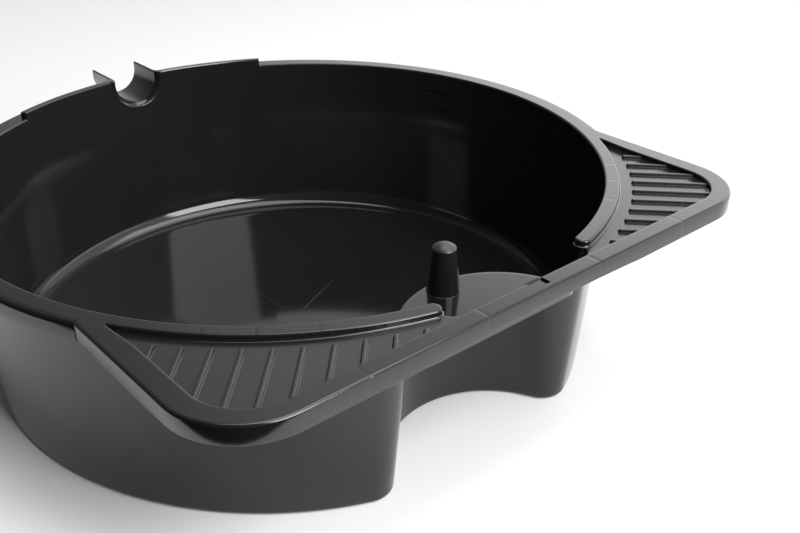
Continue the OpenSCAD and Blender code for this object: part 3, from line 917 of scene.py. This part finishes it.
def make_world():
    """Soft studio surroundings: a bright sweep behind and to the right, dark on the camera's left."""
    world = bpy.data.worlds.new("studio")
    bpy.context.scene.world = world
    world.use_nodes = True
    tree = world.node_tree
    back = tree.nodes["Background"]
    where = tree.nodes.new("ShaderNodeTexCoord")
    split = tree.nodes.new("ShaderNodeSeparateXYZ")
    tree.links.new(where.outputs["Generated"], split.inputs[0])

    def calc(operation, a, b=0.0):
        node = tree.nodes.new("ShaderNodeMath")
        node.operation = operation
        for socket, value in zip(node.inputs, (a, b)):
            if isinstance(value, (int, float)):
                socket.default_value = value
            else:
                tree.links.new(value, socket)
        return node.outputs[0]

    def ramp(value, stops):
        node = tree.nodes.new("ShaderNodeValToRGB")
        elements = node.color_ramp.elements
        for place, level in stops[1:-1]:
            elements.new(place)
        for element, (place, level) in zip(elements, stops):
            element.position = place
            element.color = [level / BRIGHTEST] * 3 + [1]
        tree.links.new(value, node.inputs["Fac"])
        return node.outputs["Color"]

    x, y, z = split.outputs
    turn = math.radians(SWEEP_AZ)
    along = calc("ADD", calc("MULTIPLY", x, math.cos(turn)), calc("MULTIPLY", y, math.sin(turn)))
    flat = calc("SQRT", calc("SUBTRACT", 1.0, calc("MULTIPLY", z, z)))
    turned = calc("DIVIDE", along, calc("MAXIMUM", flat, 0.05))
    side = calc("ADD", calc("MULTIPLY", turned, 0.5), 0.5)
    rise = tree.nodes.new("ShaderNodeMapRange")
    rise.interpolation_type = "SMOOTHSTEP"
    rise.inputs["From Min"].default_value = math.sin(math.radians(SWEEP_TOP[0]))
    rise.inputs["From Max"].default_value = math.sin(math.radians(SWEEP_TOP[1]))
    tree.links.new(z, rise.inputs["Value"])
    mix = tree.nodes.new("ShaderNodeMixRGB")
    tree.links.new(rise.outputs["Result"], mix.inputs["Fac"])
    tree.links.new(ramp(side, LOW_LEVELS), mix.inputs["Color1"])
    tree.links.new(ramp(side, HIGH_LEVELS), mix.inputs["Color2"])
    tree.links.new(mix.outputs["Color"], back.inputs["Color"])
    dusk = tree.nodes.new("ShaderNodeMapRange")
    dusk.inputs["From Min"].default_value, dusk.inputs["From Max"].default_value = HORIZON
    dusk.inputs["To Min"].default_value = DARK
    dusk.inputs["To Max"].default_value = BRIGHTEST
    tree.links.new(z, dusk.inputs["Value"])
    tree.links.new(dusk.outputs["Result"], back.inputs["Strength"])


def make_camera():
    """Camera at the photograph's viewing angle."""
    data = bpy.data.cameras.new("camera")
    data.sensor_width = 36.0
    data.lens = CAMERA_LENS
    data.clip_start = 0.01
    cam = bpy.data.objects.new("camera", data)
    azimuth, elevation, roll = (math.radians(a) for a in CAMERA_TURN)
    right = Vector((math.cos(azimuth), math.sin(azimuth), 0))
    away = Vector((math.sin(azimuth), -math.cos(azimuth), 0))
    back = away * math.cos(elevation) + Vector((0, 0, math.sin(elevation)))
    up = back.cross(right)
    turned = right * math.cos(roll) + up * math.sin(roll)
    upright = up * math.cos(roll) - right * math.sin(roll)
    pose = Matrix((turned, upright, back)).transposed().to_4x4()
    pose.translation = Vector(CAMERA_PLACE) * MM
    cam.matrix_world = pose
    bpy.context.scene.collection.objects.link(cam)
    bpy.context.scene.camera = cam


def make_floor():
    """Pale table top whose near edge lies just outside the picture. Its tone is painted light and shade:
    lighter near that edge and darker further in.
    """
    edge_x, edge_y = TABLE_EDGE
    dx, dy, _ = polar(1.0, TABLE_EDGE_A, 0.0)
    half_length, width = 6.0, 9.0
    corners = [(edge_x + t * dx, edge_y + t * dy) for t in (-half_length, half_length)]
    corners += [(x + width * dy, y - width * dx) for x, y in reversed(corners)]
    mesh = bpy.data.meshes.new("table")
    mesh.from_pydata([(x, y, 0.0) for x, y in corners], [], [(0, 3, 2, 1)])
    floor = bpy.data.objects.new("table", mesh)
    bpy.context.scene.collection.objects.link(floor)
    m = Nodes("table")
    where = m.make("ShaderNodeTexCoord")
    cloud = m.make("ShaderNodeTexNoise", Scale=3.0, Detail=3.0)
    m.link(where, "Object", cloud, "Vector")
    split = m.make("ShaderNodeSeparateXYZ")
    m.link(where, "Object", split, "Vector")
    # Distance from the near edge, with a little of the cloud in it.
    across = m.make("ShaderNodeMath", operation="MULTIPLY")
    across.inputs[1].default_value = dy
    m.link(split, "X", across, 0)
    inward = m.make("ShaderNodeMath", operation="MULTIPLY_ADD")
    inward.inputs[1].default_value = -dx
    m.link(split, "Y", inward, 0)
    m.link(across, "Value", inward, 2)
    clouded = m.make("ShaderNodeMath", operation="MULTIPLY_ADD")
    clouded.inputs[1].default_value = 0.03
    m.link(cloud, "Fac", clouded, 0)
    m.link(inward, "Value", clouded, 2)
    start = edge_x * dy - edge_y * dx + 0.015
    depth = m.stretch(clouded, "Value", start, start + FLOOR_PAINTED_LIGHT_SPAN)
    # Painted light and shade across the table: from the lighter tone at the near edge to the darker one
    # further in.
    tone = m.make("ShaderNodeValToRGB")
    for stop, level in zip(tone.color_ramp.elements, FLOOR_PAINTED_LIGHT):
        stop.color = (level, level, level * 1.01, 1)
    m.link(depth, "Result", tone, "Fac")
    m.link(tone, "Color", m.shader, "Base Color")
    m.shader.inputs["Roughness"].default_value = 0.7
    mesh.materials.append(m.material)


black = moulded_plastic("black_plastic", (0.006, 0.006, 0.0063),
                        rough=0.12, vary=0.02, grain=900.0, bump=0.03)
satin = moulded_plastic("satin_plastic", (0.009, 0.009, 0.0098),
                        rough=0.22, vary=0.03, grain=1400.0, bump=0.08)
polished = moulded_plastic("polished_plastic", (0.009, 0.009, 0.009),
                           rough=0.09, vary=0.015, grain=500.0, bump=0.02)
dull = moulded_plastic("dull_plastic", (0.013, 0.013, 0.014),
                       rough=0.42, vary=0.03, grain=1800.0, bump=0.15)

SIDES = ("left", "right")


def show(piece, slot, *nodes):
    """Puts a piece on the pan in place of the CAD nodes named."""
    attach(piece, "root")
    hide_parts(*nodes)


pan, ledge_line = build_pan(black, polished)
show(pan, "pan_satin",
     "basin_floor", "base_curve", "wall_back", "recess_wall", "filter_platform", "front_panel",
     *[f"{n}_{s}" for s in SIDES for n in ("wall_back", "wall", "wall_front", "recess_post",
                                          "recess_cheek", "rim", "rim_back", "splash_lip", "bead")])
show(build_spout(black), "pan_satin", "pour_channel", "pour_flare")
show(build_border(black), "pan_satin",
     "front_bar", *[f"{n}_{s}" for s in SIDES for n in ("side_border", "corner_border")])
show(build_trays(satin, ledge_line), "tray_satin", "tray_left", "tray_right", "opening_ledge")
for word, sign in (("left", 1), ("right", -1)):
    for number in range(1, RIB_N + 1):
        rib = build_rib(f"tray_rib_{word}_{number}", sign, number, satin)
        show(rib, "tray_satin", f"rib_{word}_{number}")
show(build_peg(polished, dull), "pan_gloss", "filter_peg")
lines = build_floor_lines(polished)
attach(lines, "root")
for node, material in (("gusset_left", black), ("gusset_right", black), ("volume_marks", polished)):
    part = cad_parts[node]
    part.data.materials.clear()
    part.data.materials.append(material)

make_world()
make_camera()
make_floor()
place_softbox("key", -83.0, 35.0, 1.6, (0.92, 1.2), 11.0)
place_softbox("overhead", 5.0, 76.0, 1.8, (1.3, 1.3), 3.6)
bpy.context.scene.view_settings.view_transform = "Standard"
